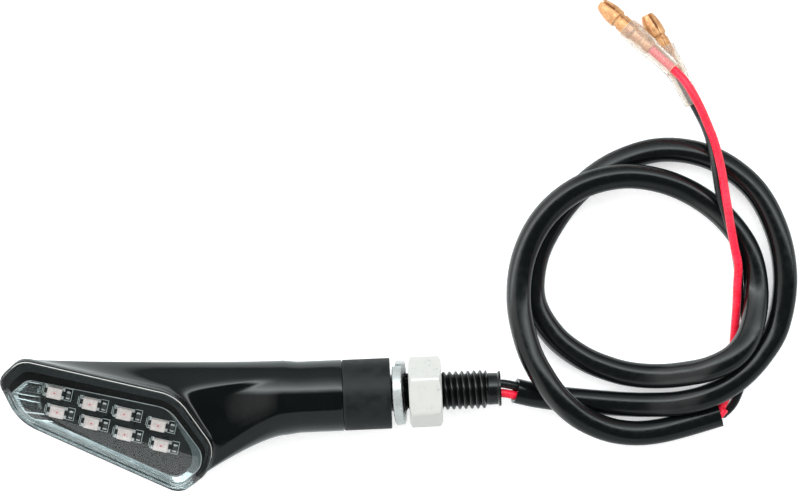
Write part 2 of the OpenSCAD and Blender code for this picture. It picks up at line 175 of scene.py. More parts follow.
def gloss_black(name, tint=(0.002, 0.0026, 0.0027), rough=0.06, wave=0.0):
    """Moulded gloss plastic: faint haze, fine dust specks and a very slight waviness."""
    m = material(name, tint, rough, Coat_Weight=0.3, Coat_Roughness=0.04, Specular_IOR_Level=0.5)
    n = Nodes(m)
    haze = n.noise(0.25, 4)
    n.paint(haze, [(0.3, tint), (0.7, tuple(1.5 * c for c in tint))])
    n.rough(n.noise(1.3, 6), rough * 0.8, rough * 1.5)
    if wave:
        n.bump(n.noise(0.22, 2), wave)
    return m


def rubber_black(name):
    """Matt moulded rubber with a fine even grain."""
    m = material(name, (0.006, 0.0075, 0.008), 0.5, Specular_IOR_Level=0.4)
    n = Nodes(m)
    patch = n.noise(0.5, 5)
    n.paint(patch, [(0.3, (0.004, 0.005, 0.0055)), (0.7, (0.009, 0.011, 0.0115))])
    n.rough(patch, 0.42, 0.58)
    n.bump(n.noise(6, 3), 0.01, 0.5)
    return m


def plated(name, color, rough, grain=(1, 1, 1), depth=0.004, metal=0.8, spots=(0.55, 0.58, 0.58)):
    """Zinc plate: turning marks, small dull spots and uneven gloss."""
    m = material(name, color, rough, metal)
    n = Nodes(m)
    cloud = n.noise(0.9, 6, rough=0.6)
    n.paint(cloud, [(0.28, spots), (0.4, color), (1.0, tuple(min(1.0, c * 1.05) for c in color))])
    n.rough(n.noise(2.1, 4, grain), rough * 0.85, rough * 1.25)
    n.bump(n.noise(3.0, 3, grain), depth, 0.4)
    return m


# ---------------------------------------------------------------- mesh helpers
def piece(name, verts, faces, mats, body, sharp=40, cad=()):
    """A smooth-shaded mesh from millimetre points, attached to body when one is given."""
    mesh = bpy.data.meshes.new(name)
    mesh.from_pydata([row(v) for v in verts], [], faces)
    mesh.update()
    bm = bmesh.new()
    bm.from_mesh(mesh)
    bmesh.ops.remove_doubles(bm, verts=bm.verts, dist=1e-7)
    bmesh.ops.recalc_face_normals(bm, faces=bm.faces)
    bm.to_mesh(mesh)
    bm.free()
    mesh.polygons.foreach_set("use_smooth", [True] * len(mesh.polygons))
    mesh.set_sharp_from_angle(angle=math.radians(sharp))
    for m in mats if isinstance(mats, (list, tuple)) else [mats]:
        mesh.materials.append(m)
    obj = bpy.data.objects.new(name, mesh)
    bpy.context.scene.collection.objects.link(obj)
    if body:
        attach(obj, body)
    if cad:
        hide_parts(*cad)
    return obj


def skin(rings, closed=False, caps=False):
    """Joins equal rings of points into faces; closed joins last to first, caps fills the ends."""
    m, n = len(rings), len(rings[0])
    verts = [p for r in rings for p in r]
    faces = []
    for i in range(m if closed else m - 1):
        for j in range(n):
            k = (j + 1) % n
            h = (i + 1) % m
            faces.append((i * n + j, i * n + k, h * n + k, h * n + j))
    if caps:
        faces.append(tuple(reversed(range(n))))
        faces.append(tuple((m - 1) * n + j for j in range(n)))
    return verts, faces


def turned(profile, steps=96, closed=True):
    """A solid of revolution about the stud axis; profile points are (x, radius)."""
    rings = []
    for x, r in profile:
        turn = [2 * math.pi * k / steps for k in range(steps)]
        rings.append([(x, r * math.cos(a), AXIS_Z + r * math.sin(a)) for a in turn])
    return skin(rings, closed=closed, caps=not closed)


def eased(profile, radius=0.15, points=3):
    """The closed profile with each corner rounded by up to radius."""
    out = []
    n = len(profile)
    for i in range(n):
        a, b, c = (Vector(profile[(i + k) % n]) for k in (-1, 0, 1))
        u, v = a - b, c - b
        r = min(radius, u.length * 0.45, v.length * 0.45)
        p, q = b + u.normalized() * r, b + v.normalized() * r
        for k in range(points + 1):
            t = k / points
            s = (1 - t) ** 2 * p + 2 * t * (1 - t) * b + t * t * q
            out.append((s.x, s.y))
    return out


def spline(points, per_mm=1.2):
    """Points on the smooth curve through all the given ones, spaced evenly enough for a tube."""
    p = [Vector(q) for q in points]
    out = []
    for i in range(len(p) - 1):
        a, b, c, d = p[max(i - 1, 0)], p[i], p[i + 1], p[min(i + 2, len(p) - 1)]
        steps = max(2, round((c - b).length * per_mm))
        for k in range(steps):
            t = k / steps
            out.append(0.5 * (2 * b + (c - a) * t + (2 * a - 5 * b + 4 * c - d) * t * t
                              + (3 * b - a - 3 * c + d) * t ** 3))
    out.append(p[-1])
    return out


def frames(path):
    """(point, level side vector, up vector) along a path."""
    out = []
    for i, p in enumerate(path):
        d = (path[min(i + 1, len(path) - 1)] - path[max(i - 1, 0)]).normalized()
        side = Vector((0, 0, 1)).cross(d).normalized()
        out.append((p, side, d.cross(side)))
    return out


def tube_rings(path, section):
    """Rings of a tube; section(i) gives the (across, up) points of ring i."""
    return [[p + s * a + u * b for a, b in section(i)] for i, (p, s, u) in enumerate(frames(path))]


def round_section(r, sides):
    turn = [2 * math.pi * k / sides for k in range(sides)]
    return [(r * math.cos(a), r * math.sin(a)) for a in turn]


# ---------------------------------------------------------------- the lead: sleeve and two wires
SLEEVE_D = 5.2
SLEEVE_BORE = 2.1
WIRE_D = 1.8
WIRE_GAP = 0.98
SLEEVE_ROUTE = [
    (35.5, -0.6, 6.9), (39.1, -1.6, 5.9), (43.4, -2.5, 4.4), (48.6, -3.3, 3), (57.3, -4.4, 2.7),
    (63.2, -4.8, 3.1), (69.4, -4.7, 4.7), (75.7, -3.3, 6.4), (81.6, -0.1, 5.8), (86.6, 4.6, 4.1),
    (90.4, 10.6, 2.8), (92.3, 20.1, 2.6), (91, 30, 2.6), (86.4, 39.2, 2.6), (78.1, 45.6, 2.6),
    (68, 47.7, 2.6), (58.3, 45.3, 2.6), (50.6, 40.2, 2.6), (44.9, 33.7, 2.6), (41, 26.2, 2.6),
    (40.2, 17.8, 2.6), (43.9, 10.5, 2.6), (49.6, 5.6, 2.6), (55.8, 2.7, 2.6), (60.9, 1.4, 2.7),
    (65.9, 1, 3.7), (70.7, 1.3, 6), (76, 2.3, 8.8), (81.1, 4.9, 9.2), (84.5, 9.6, 7.2),
    (86.2, 17.2, 4.2), (85.1, 25.5, 3.6), (80.8, 32.6, 3.6), (74.5, 38, 4.2), (67.1, 41.4, 6.1),
    (58.9, 42.5, 7.8), (50.4, 40.5, 8.3), (43.1, 35, 8), (38.5, 27, 7.8), (37, 17.7, 8.4),
    (38.5, 8.3, 9.5), (41.6, 1.5, 10.1), (45.1, -3.4, 9.3), (49.9, -7.4, 6.9), (56.7, -10.1, 4),
    (65, -10.3, 2.7), (77.7, -7.4, 2.6)]
RED_ROUTE = [
    (77.7, -6.5, 3.1), (78.9, -4.3, 2.4), (79.7, -1.4, 1.4), (80.5, 2.9, 1), (81.2, 7.2, 1),
    (81.6, 10.9, 2), (82, 15, 3.6), (82.2, 18.7, 5.3), (82.5, 23.2, 7.5),
    (81.9, 26.6, 8.8), (81.3, 30.7, 9.3), (80.9, 34.1, 9.4), (80.4, 38.2, 9.1), (79.8, 43.4, 8.9),
    (78.7, 48.6, 9), (77.6, 51.9, 9.1), (76.2, 55.6, 9.2), (74.6, 59, 8.9), (73.1, 61.6, 8.4)]
BLACK_ROUTE = [
    (78.4, -7.4, 1.2), (80.6, -5.3, 1), (82.2, -1.9, 1), (83.3, 2.4, 1),
    (83.9, 6.9, 1), (83.9, 10.8, 1), (83.2, 15, 1.6), (82.8, 18.7, 3.2), (82.5, 23.1, 5.4), (82, 26.6, 6.8),
    (81.4, 30.1, 7.3), (80.4, 33.9, 7.4), (79.4, 37.8, 7.2), (78.7, 43.5, 6.6), (78.1, 48.2, 5.4),
    (77.3, 51.5, 3.6), (76.4, 53.9, 2.5)]
MOUNTS = {m["name"]: m for m in frame["record"]["mounts"]}
SHOULDER = 17.0                              # the stated point of a bullet, from its cover's rear end


def plug_frame(colour):
    """(rear end of the cover, direction towards the tip) of one connector, in millimetres."""
    m = MOUNTS[f"bullet_{colour}_plug"]
    d = Vector(m["axis"]).normalized()
    return (Vector(m["pos_m"]) - SEAM) / MM - d * SHOULDER, d


def wire_points(side, route, colour):
    """The wire's whole way: stud, grommet, sleeve (with a quarter turn), open route and crimp."""
    points = [Vector((x, side * WIRE_GAP, AXIS_Z)) for x in (2.5, 12, 22, 30, 32.8)]
    centre = [Vector(p) for p in SLEEVE_ROUTE]
    for i, (p, s, u) in enumerate(frames(centre)):
        a = -math.pi / 2 * i / (len(centre) - 1)
        points.append(p + side * 0.95 * (s * math.cos(a) + u * math.sin(a)))
    rear, d = plug_frame(colour)
    return points + [Vector(p) for p in route] + [rear + d * s for s in (-0.4, 3, 10)]


def sleeve_material():
    m = material("sleeve_vinyl", (0.003, 0.0038, 0.004), 0.24, Specular_IOR_Level=0.55)
    n = Nodes(m)
    n.rough(n.noise(0.8, 5), 0.15, 0.26)
    n.bump(n.noise(0.35, 2), 0.03, 0.4)
    return m


def wire_material(name, color, pale):
    m = material(name, color, 0.3, Subsurface_Weight=0.08, Subsurface_Scale=0.001)
    n = Nodes(m)
    n.paint(n.noise(0.35, 3), [(0.3, color), (0.7, pale)])
    n.rough(n.noise(2.0, 4), 0.24, 0.4)
    n.bump(n.noise(1.5, 3), 0.02, 0.4)
    return m


def make_sleeve():
    """A soft sleeve over two wires: a little wider than high, with a shallow valley along each side."""
    path = spline(SLEEVE_ROUTE, 1.6)
    sides = 28

    def section(i, inner=False):
        twist = 0.5 * math.sin(i * 0.011) + 0.15 * math.sin(i * 0.045 + 1)
        ring = []
        for k in range(sides):
            a = 2 * math.pi * k / sides
            b = a - twist
            r = SLEEVE_D / 2 * (1 - 0.05 * math.sin(b) ** 2 - 0.045 * abs(math.sin(b)) ** 9) - 0.03
            if inner:
                r = SLEEVE_BORE - 0.12
            ring.append((r * math.cos(a), r * math.sin(a)))
        return ring

    outer = tube_rings(path, section)
    inner = tube_rings(path, lambda i: section(i, True))[::-1]
    verts, faces = skin(outer + inner, closed=True)
    obj = piece("sleeve", verts, faces, sleeve_material(), "stud_side", cad=["cable_sleeve"])
    row(SLEEVE_ROUTE[0])
    [row(p) for p in path]


def make_wire(colour, side, route, mat, with_pieces):
    path = spline(wire_points(side, route, colour), 1.3)
    rings = tube_rings(path, lambda i: round_section(WIRE_D / 2 - 0.01, 12))
    verts, faces = skin(rings, caps=True)
    obj = piece(f"wire_{colour}_run", verts, faces, mat, "stud_side", cad=[f"wire_{colour}"])
    row(path[0])
    [row(p) for p in path]


# ---------------------------------------------------------------- bullet connectors and clear covers
def brass_material():
    m = material("bullet_brass", (0.8, 0.5, 0.25), 0.3, 0.45)
    n = Nodes(m)
    n.paint(n.noise(0.9, 6), [(0.25, (0.46, 0.19, 0.08)), (0.5, (0.64, 0.32, 0.14)),
                              (0.8, (0.84, 0.5, 0.25))])
    n.rough(n.noise(1.2, 4), 0.24, 0.4)
    n.bump(n.noise(3, 3), 0.006, 0.4)
    return m


def cover_material(name="cover_vinyl", color=(0.95, 0.9, 0.84), clear=0.9):
    m = material(name, color, 0.2, IOR=1.38, Transmission_Weight=clear)
    n = Nodes(m)
    n.paint(n.noise(0.6, 3), [(0.3, tuple(0.94 * c for c in color)), (0.7, color)])
    n.rough(n.noise(0.9, 4), 0.12, 0.26)
    n.bump(n.noise(0.4, 2), 0.02, 0.4)
    return m


def along(verts, rear, d):
    """Turns points given as (distance along the connector, across, up) into place."""
    side = Vector((0, 0, 1)).cross(d).normalized()
    up = d.cross(side)
    return [rear + d * v[0] + side * v[1] + up * v[2] for v in verts]


def lathe(profile, steps=56):
    rings = []
    for s, r in profile:
        rings.append([(s, r * math.cos(2 * math.pi * k / steps), r * math.sin(2 * math.pi * k / steps))
                      for k in range(steps)])
    return skin(rings, closed=True)


def cut_away(obj, boxes, rear, d, roll):
    """Cuts box-shaped slots, given as (from, to, half width, low, high) along the connector, out of obj."""
    for s0, s1, half, low, high in boxes:
        corners = [(s, a, b) for s in (s0, s1) for a in (-half, half) for b in (low, high)]
        spun = [(s, a * math.cos(roll) - b * math.sin(roll), a * math.sin(roll) + b * math.cos(roll))
                for s, a, b in corners]
        faces = [(0, 1, 3, 2), (4, 6, 7, 5), (0, 4, 5, 1), (2, 3, 7, 6), (0, 2, 6, 4), (1, 5, 7, 3)]
        cutter = piece("cutter", along(spun, rear, d), faces, [], None)
        mod = obj.modifiers.new("slot", "BOOLEAN")
        mod.object = cutter
        mod.operation = "DIFFERENCE"
        mod.solver = "EXACT"
        bpy.context.view_layer.objects.active = obj
        bpy.ops.object.modifier_apply(modifier="slot")
        bpy.data.objects.remove(cutter)
    obj.data.polygons.foreach_set("use_smooth", [True] * len(obj.data.polygons))
    obj.data.set_sharp_from_angle(angle=math.radians(35))


def make_connector(colour, brass, vinyl, roll):
    rear, d = plug_frame(colour)
    crimp = [(6.5, 0.93), (6.5, 1.22), (8.2, 1.3), (8.4, 1.12), (9.0, 1.12), (9.2, 1.32), (11.1, 1.34),
             (11.7, 1.78), (14.9, 1.79), (15.1, 1.6), (15.7, 1.6), (15.95, 1.93), (16.2, 1.945),
             (17.9, 1.945),
             (19.6, 1.62), (20.6, 1.3), (20.85, 1.1), (20.85, 0.86), (20.4, 0.8), (13.6, 0.8), (13.6, 0.3),
             (11.3, 0.3), (11.3, 0.93)]
    verts, faces = lathe(eased(crimp, 0.12))
    pin = piece(f"bullet_{colour}_pin", along(verts, rear, d), faces, brass, None, 35)
    cut_away(pin, [(17.4, 21.5, 0.26, 0.3, 3), (17.4, 21.5, 0.26, -3, -0.3), (11.9, 17.6, 0.07, 0.6, 3)],
             rear, d, roll)
    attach(pin, "stud_side")
    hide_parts(f"bullet_{colour}")
    wall = [(0.05, 1.46), (0.05, 1.84), (3.0, 1.86), (5.9, 1.93), (7.4, 2.2), (9, 2.22), (13.25, 2.23),
            (13.25, 1.93), (9, 1.92), (7.7, 1.9), (6.4, 1.56), (3.0, 1.48)]
    verts, faces = lathe(eased(wall, 0.1))
    ends = [min(verts[k][0] for k in f) > 13.1 or max(verts[k][0] for k in f) < 0.2 for f in faces]
    cover = piece(f"cover_{colour}_sleeve", along(verts, rear, d), faces, vinyl,
                  "cover_r" if colour == "red" else "cover_b", 60, [f"cover_{colour}"])
    cover.data.materials.append(rim_vinyl)
    cover.data.polygons.foreach_set("material_index", [int(e) for e in ends])
    return [pin, cover]


make_sleeve()
brass = brass_material()
vinyl = cover_material()
rim_vinyl = cover_material("cover_rim", (0.8, 0.66, 0.46), 0.3)
red_wire = wire_material("wire_red_pvc", (0.82, 0.006, 0.03), (0.94, 0.02, 0.06))
black_wire = wire_material("wire_black_pvc", (0.004, 0.005, 0.005), (0.008, 0.01, 0.01))
make_wire("red", -1, RED_ROUTE, red_wire, make_connector("red", brass, vinyl, 0.5))
make_wire("black", 1, BLACK_ROUTE, black_wire, make_connector("black", brass, vinyl, 0.35))


# ---------------------------------------------------------------- lens plane
LENS_O = Vector((-48.0, -3.0, 14.5))
TILT = Matrix.Rotation(math.radians(-4.5), 3, "Y") @ Matrix.Rotation(math.radians(20), 3, "X")
PLATE = 1.6
BOARD = -3.4
BOARD_BACK = BOARD - 1.0
FACE = [(-22.45, 9.6), (-17.3, 14.2), (14.3, 4.95), (21.2, -6.9), (19.3, -12.8), (13.3, -17.15),
        (-18.9, 0.35)]
CORNERS = len(FACE)
CUTS = [2.2, 2.4, 3.6, 2.4, 2.2, 2.6, 4.2]
OPENING = [(-19.9, 6.2), (-16.2, 9.05), (12.1, 1.4), (18.2, -8.6), (17.6, -11.8), (13.1, -15.4),
           (-17.9, 1.45)]
TRAY = [(-14.2, 4.4), (-13.2, 8.2), (11.5, 1.2), (16.2, -8.7), (15.6, -11.9), (12.2, -13.8), (-13.6, 0.2)]
BEZEL_TOP = -2.25
TRAY_RIM, TRAY_FOOT = -2.55, BOARD + 0.05
SMALL_CUTS = [1.0, 1.2, 2.4, 1.6, 1.2, 1.4, 2.0]


def on_lens(p):
    """A point (u, v, depth) of the lens plane, in millimetres of the stud-axis frame."""
    return LENS_O + TILT @ Vector(p)


def inset(corners, d):
    """The clockwise outline moved inward by d."""
    n = len(corners)
    out = []
    for i in range(n):
        a, b, c = (Vector(corners[(i + k) % n]) for k in (-1, 0, 1))
        u, v = (b - a).normalized(), (c - b).normalized()
        p, q = a + d * Vector((u.y, -u.x)), b + d * Vector((v.y, -v.x))
        cross = u.x * v.y - u.y * v.x
        w = q - p
        out.append(p + u * ((w.x * v.y - w.y * v.x) / cross))
    return out


def rounded(corners, cuts, corner_points=8, step=None):
    """(x, y, place) round the outline with curved corners; place counts corners, for the loft."""
    n = len(corners)
    c = [Vector(p) for p in corners]
    out = []
    for i in range(n):
        j = (i + 1) % n
        a = c[i] + cuts[i] * (c[i - 1] - c[i]).normalized()
        b = c[i] + cuts[i] * (c[j] - c[i]).normalized()
        e = c[j] + cuts[j] * (c[i] - c[j]).normalized()
        for k in range(corner_points + 1):
            t = k / corner_points
            p = (1 - t) ** 2 * a + 2 * t * (1 - t) * c[i] + t * t * b
            out.append((p.x, p.y, i + (t - 0.5) * 0.24))
        steps = max(1, round((e - b).length / step)) if step else 1
        for k in range(1, steps):
            p = b.lerp(e, k / steps)
            out.append((p.x, p.y, i + 0.12 + 0.76 * k / steps))
    return out


def plane_ring(corners, cuts, depth, **kw):
    return [on_lens((x, y, depth)) for x, y, place in rounded(corners, cuts, **kw)]


# ---------------------------------------------------------------- housing shell
SEATS = [-80, -8, 55, 110, 140, 182, 248, 280]
PULL = [46, 37, 12, 7, 8, 12, 41, 46]
LEAN = [0.14, -0.08, 0.0, 0.18, 0.2, 0.26, 0.30, 0.14]
STEM_R, NECK_R, NECK_FLAT, BORE_R, STEM_LEN = 7.35, 7.7, 0.35, 5.6, 12
RIM = PLATE + 0.2
LIP = 0.14                                  # thickness of the housing lip round the lens


def between(values, f):
    f = f + len(values) - 1 if f < 0 else f
    i = min(int(f), len(values) - 2)
    return values[i] + (values[i + 1] - values[i]) * (f - i)


def stem_angle(f):
    if f < 0:
        return math.radians(280 + (248 - 280) * -f - 360)
    return math.radians(between(SEATS, f))


def wall_ring(points, radius, pull, s):
    """A ring of the wall at share s of the way from the rim to the round stem."""
    ring = []
    for x, y, f in points:
        a = stem_angle(f)
        start = on_lens((x, y, -RIM))
        end = Vector((-STEM_LEN, radius * math.cos(a), AXIS_Z + (radius - NECK_FLAT) * math.sin(a)))
        drop = between(PULL, f) * pull * Vector((0.08, between(LEAN, f), -0.93)).normalized()
        run = Vector((0.8 * (end.x - start.x), 0, 0))
        ring.append((2 * s ** 3 - 3 * s * s + 1) * start + (s ** 3 - 2 * s * s + s) * drop
                    + (3 * s * s - 2 * s ** 3) * end + (s ** 3 - s * s) * run)
    return ring


def stem_ring(points, radius, x):
    out = []
    for q in points:
        a = stem_angle(q[2])
        out.append(Vector((x, radius * math.cos(a), AXIS_Z + radius * math.sin(a))))
    return out


def make_housing():
    outer = rounded(FACE, CUTS, 10, 0.7)
    inner = rounded(inset(FACE, 1.0), [0.8 * c for c in CUTS], 10, 0.7)
    count = len(outer)
    while len(inner) < count:                 # equal rings: the shorter outline repeats its last point
        inner.append(inner[-1])
    inner = inner[:count]
    steps = 64
    rings = []
    for d, z in ((LIP, -RIM), (LIP, -0.72), (LIP * 0.6, -0.64), (LIP * 0.1, -0.7), (0, -0.8)):
        ring = [on_lens((x, y, z)) for x, y, f in rounded(inset(FACE, d), CUTS, 10, 0.7)[:count]]
        rings.append(ring + [ring[-1]] * (count - len(ring)))
    rings += [wall_ring(outer, NECK_R, 1, 0.006 + 0.994 * (k / steps) ** 1.25) for k in range(steps + 1)]
    rings += [stem_ring(outer, STEM_R, x) for x in (-9, -6, -3, -0.25)]
    rings += [stem_ring(outer, STEM_R - 0.12, -0.02), stem_ring(outer, BORE_R, 0)]
    rings += [stem_ring(outer, BORE_R, -6), stem_ring(outer, BORE_R, -11)]
    rings += [wall_ring(inner, BORE_R, 0.92, 1 - k / 24) for k in range(24)]
    rings += [[on_lens((x, y, -RIM)) for x, y, f in inner]]
    verts, faces = skin(rings, closed=True)
    gloss = gloss_black("housing_gloss", wave=0.05)
    obj = piece("housing_shell", verts, faces, gloss, "head", 40, ["housing"])


# ---------------------------------------------------------------- lens and what shows through it
def glass_material(name="lens_clear", color=(0.97, 0.985, 0.985), rough=0.012, clear=1.0):
    m = material(name, color, rough, IOR=1.49, Transmission_Weight=clear)
    n = Nodes(m)
    n.rough(n.noise(0.4, 4), rough * 0.5, rough * 1.8)
    n.bump(n.noise(0.08, 1), 0.01, 0.3)
    return m


def share(f, start, end, ease=0.35):
    """1 where the place f is between start and end, falling to 0 over ease on both sides."""
    f = f + CORNERS if f < start - 1.5 else f
    return max(0.0, min(1.0, (f - start) / ease + 1, (end - f) / ease + 1))


LOWER = (4.9, 6.45)                         # places between which the long lower edge runs


def make_lens():
    """The clear plate; its underside is cut back along the lower edge, over the fluted skirt."""
    edge = [(0.62, 0.0), (0.42, -0.03), (0.27, -0.12), (0.19, -0.28), (LIP + 0.02, -0.5), (LIP + 0.02, -0.7)]
    rings = [plane_ring(inset(FACE, d), [c * (1 - d * 0.12) for c in CUTS], z) for d, z in edge]
    for full, low in (((LIP + 0.02, -PLATE), (0.2, -0.82)), ((1.4, -PLATE), (1.5, -PLATE))):
        a, b = (rounded(inset(FACE, d), CUTS) for d, z in (full, low))
        rings.append([on_lens((p[0], p[1], full[1])).lerp(on_lens((q[0], q[1], low[1])), share(p[2], *LOWER))
                      for p, q in zip(a, b)])
    verts, faces = skin(rings, caps=True)
    obj = piece("lens_plate", verts, faces, glass_material(), "head", 30, ["lens"])
    # A frosted strip just under the face along the top and right edges: a painted highlight on the lens rim.
    places = [q[2] for q in rounded(FACE, CUTS)]
    lines = []
    for d, z in ((0.25, -0.1), (0.16, -0.26), (0.28, -0.34)):
        lines.append([on_lens((q[0], q[1], z)) for q in rounded(inset(FACE, d), CUTS)])
    rings = [list(ring) for ring, f in zip(zip(*lines), places) if 0.3 < f < 3.3]
    verts, faces = skin(rings, caps=True)
    painted_highlight = glass_material("lens_rim_painted_highlight", (0.6, 0.6, 0.58), 0.3, 0.1)
    obj = piece("lens_rim_highlight_strip", verts, faces, painted_highlight, "head", 40)


def tray_material():
    m = material("tray_metallised", (0.62, 0.66, 0.67), 0.16, 0.75)
    n = Nodes(m)
    n.paint(n.noise(0.3, 2), [(0.3, (0.36, 0.43, 0.44)), (0.7, (0.48, 0.56, 0.57))])
    n.rough(n.noise(0.6, 2), 0.12, 0.2)
    return m


COLUMNS = 280
COLUMN_PLACES = [CORNERS * k / COLUMNS - 0.12 for k in range(COLUMNS)]
RIB_STEP = 6                                # columns from one rib to the next


def even(points):
    """The outline at equal places round it, so that two outlines join point to point."""
    out = []
    places = [q[2] for q in points]
    for f in COLUMN_PLACES:
        i = max(j for j in range(len(places)) if places[j] <= f + 1e-9)
        a, b = points[i], points[(i + 1) % len(points)]
        gap = (b[2] - a[2]) % CORNERS or 1
        t = (f - a[2]) / gap
        out.append(Vector((a[0] + (b[0] - a[0]) * t, a[1] + (b[1] - a[1]) * t)))
    return out


def make_tray(metal, grey, dark):
    """The tray between opening and board: ribs at the tip and a bright lower wall, with painted shade in a
    paler tone on the top and right walls and in near black low on the walls and between the ribs.
    """
    a, b = even(rounded(OPENING, SMALL_CUTS, 6, 0.6)), even(rounded(TRAY, SMALL_CUTS, 6, 0.6))
    layers = 24
    rings, paint = [], []
    for k in range(layers + 1):
        t = k / layers
        ring = []
        for j, f in enumerate(COLUMN_PLACES):
            p = a[j].lerp(b[j], t)
            ridge = max(0.0, math.cos(2 * math.pi * j / RIB_STEP)) ** 2 * share(f, 6.2, 7.9)
            depth = TRAY_RIM + (TRAY_FOOT - TRAY_RIM) * t + 0.16 * ridge * min(1, 4 * t, 4 * (1 - t))
            ring.append(on_lens((p.x, p.y, depth)))
            # Painted shade: the paler copy (1) covers the top and right walls, the near-black copy (2) lies
            # deep on the walls and between the ribs.
            lower, left = share(f, 4.3, 5.86, 0.02) > 0.5, share(f, 5.86, 8.2, 0.02) > 0.5
            if lower:
                kind = 0 if t < 0.75 else 2
            elif left:
                kind = 0 if t < 0.2 or j % RIB_STEP == 0 else 2
            else:
                kind = 1
            paint.append(kind)
        rings.append(ring)
    underside = ((b, TRAY_FOOT - 0.04), (a, TRAY_RIM - 0.1))
    back = [[on_lens((*(q * 1.012), z)) for q in line] for line, z in underside]
    paint += [2] * (2 * COLUMNS)
    verts, faces = skin(rings + back, closed=True)
    obj = piece("tray", verts, faces, [metal, grey, dark], "head", 50, ["reflector"])
    obj.data.polygons.foreach_set("material_index", paint)
    return a


def make_skirt(metal):
    """Long flutes that carry the bright wall up under the lens along the lower edge."""
    flutes, layers = 4, 40
    outline = [even(rounded(inset(FACE, d), CUTS, 6, 0.6)) for d in (0.34, 1.42)]
    keep = [j for j, f in enumerate(COLUMN_PLACES) if 4.5 <= f <= 6.75]
    rings = []
    for j in keep:
        end = min(1.0, (j - keep[0]) / 8, (keep[-1] - j) / 14)
        ring = []
        for k in range(layers + 1):
            t = k / layers
            p = outline[0][j].lerp(outline[1][j], t)
            rise = 0.07 * end * math.sin(2 * math.pi * flutes * t)
            ring.append(on_lens((p.x, p.y, -1.12 - 1.08 * t + rise)))
        back = [on_lens((*outline[w][j], z)) for w, z in ((1, -2.24), (0, -1.3))]
        rings.append(ring + back)
    verts, faces = skin(rings, caps=True)
    obj = piece("tray_skirt", verts, faces, metal, "head", 50)


def make_bezel(black, grey):
    """The black frame from the seal down to the opening, with a paler band along its outer half that is a
    painted sheen of the lens lying over it.
    """
    outer = even(rounded(inset(FACE, 1.06), [0.8 * c for c in CUTS], 6, 0.6))
    inner = even(rounded(OPENING, SMALL_CUTS, 6, 0.6))
    corners = [(outer, -1.84), (outer, -2.5), (inner, -2.5), (inner, BEZEL_TOP)]
    rings = [[on_lens((*q, z)) for q in line] for line, z in corners]
    rings.append([on_lens((*p.lerp(q, 0.12), BEZEL_TOP)) for p, q in zip(outer, inner)])
    verts, faces = skin(rings, closed=True)
    obj = piece("bezel_frame", verts, faces, black, "head", 40, ["bezel"])
    # Painted sheen: the paler band stands in for light off the lens above the frame.
    band = [(0, -1.8), (0.12, BEZEL_TOP + 0.03), (0.46, BEZEL_TOP + 0.03), (0.5, BEZEL_TOP - 0.02),
            (0, -1.9)]
    rings = [[on_lens((*p.lerp(q, t), z)) for p, q in zip(outer, inner)] for t, z in band]
    verts, faces = skin(rings, closed=True)
    piece("bezel_painted_sheen_band", verts, faces, grey, "head", 40)


def make_lip(metal, line):
    """The thin bright edge of the opening, on the black frame."""
    inner = [Vector((q.x, q.y)) for q in line]
    centre = sum(inner, Vector((0, 0))) / len(inner)
    rings = []
    for grow, rise in ((-0.02, 0), (-0.02, 0.05), (0.16, 0.05), (0.16, 0)):
        rings.append([on_lens((*(q + (q - centre).normalized() * grow), BEZEL_TOP + rise)) for q in inner])
    verts, faces = skin(rings, closed=True)
    obj = piece("tray_lip", verts, faces, metal, "head", 50)


LED_AT = [(-11.1, 5.7), (-4.0, 2.9), (2.8, 0.4), (9.6, -2.4), (-10.9, 1.5), (-4.05, -1.25), (2.6, -4.0),
          (9.85, -6.8)]
ROW_TURN = math.radians(-16)


def on_board(p, origin):
    """A point beside one light emitter: along its row, across it and above the board."""
    c, s = math.cos(ROW_TURN), math.sin(ROW_TURN)
    return on_lens((origin[0] + p[0] * c - p[1] * s, origin[1] + p[0] * s + p[1] * c, BOARD + p[2]))


def block_rings(w, h, levels):
    """Rings of a rounded rectangle: levels are (inset, height)."""
    rings = []
    for d, z in levels:
        half = (w / 2 - d, h / 2 - d)
        ring = []
        for sx, sy, start in ((1, -1, -90), (1, 1, 0), (-1, 1, 90), (-1, -1, 180)):
            for k in range(4):
                a = math.radians(start + 30 * k)
                r = 0.12
                ring.append((sx * (half[0] - r) + r * math.cos(a), sy * (half[1] - r) + r * math.sin(a), z))
        rings.append(ring)
    return rings


def block(name, w, h, levels, mats, place, cad=(), paint=None):
    verts, faces = skin(block_rings(w, h, levels), caps=True)
    obj = piece(name, [place(v) for v in verts], faces, mats, "head", 35, cad)
    if paint:
        paint(obj.data)
    return obj


def make_led(i, mats):
    """A white package with a shallow well of resin and the small die at its middle."""
    at = LED_AT[i]
    levels = [(0, 0.02), (0, 0.8), (0.06, 0.88), (0.3, 0.89), (0.42, 0.78), (0.75, 0.74)]
    place = lambda v: on_board(v, at)
    obj = block(f"led_{i + 1}_package", 3.0, 2.35, levels, mats[0], place, [f"led_{i + 1}"])
    obj.data.materials.append(mats[1])
    for f in obj.data.polygons[-2:]:
        f.material_index = 1
    block(f"led_{i + 1}_die", 0.36, 0.3, [(0, 0.73), (0, 0.8), (0.04, 0.82)], mats[2], place)


def make_resistor(i, mats):
    at = LED_AT[i]
    place = lambda v: on_board((v[0] + 2.9, v[1], v[2]), at)
    block(f"resistor_{i + 1}_body", 0.78, 1.0, [(0, 0.02), (0, 0.38), (0.05, 0.43)], mats[0], place)
    for end in (-1, 1):
        cap = lambda v, e=end: on_board((v[0] + 2.9, v[1] + e * 0.62, v[2]), at)
        block(f"resistor_{i + 1}_cap_{'ab'[(end + 1) // 2]}", 0.8, 0.34,
              [(0, 0.02), (0, 0.36), (0.05, 0.41)],
              mats[1], cap, [f"resistor_{i + 1}"] if end == 1 else [])


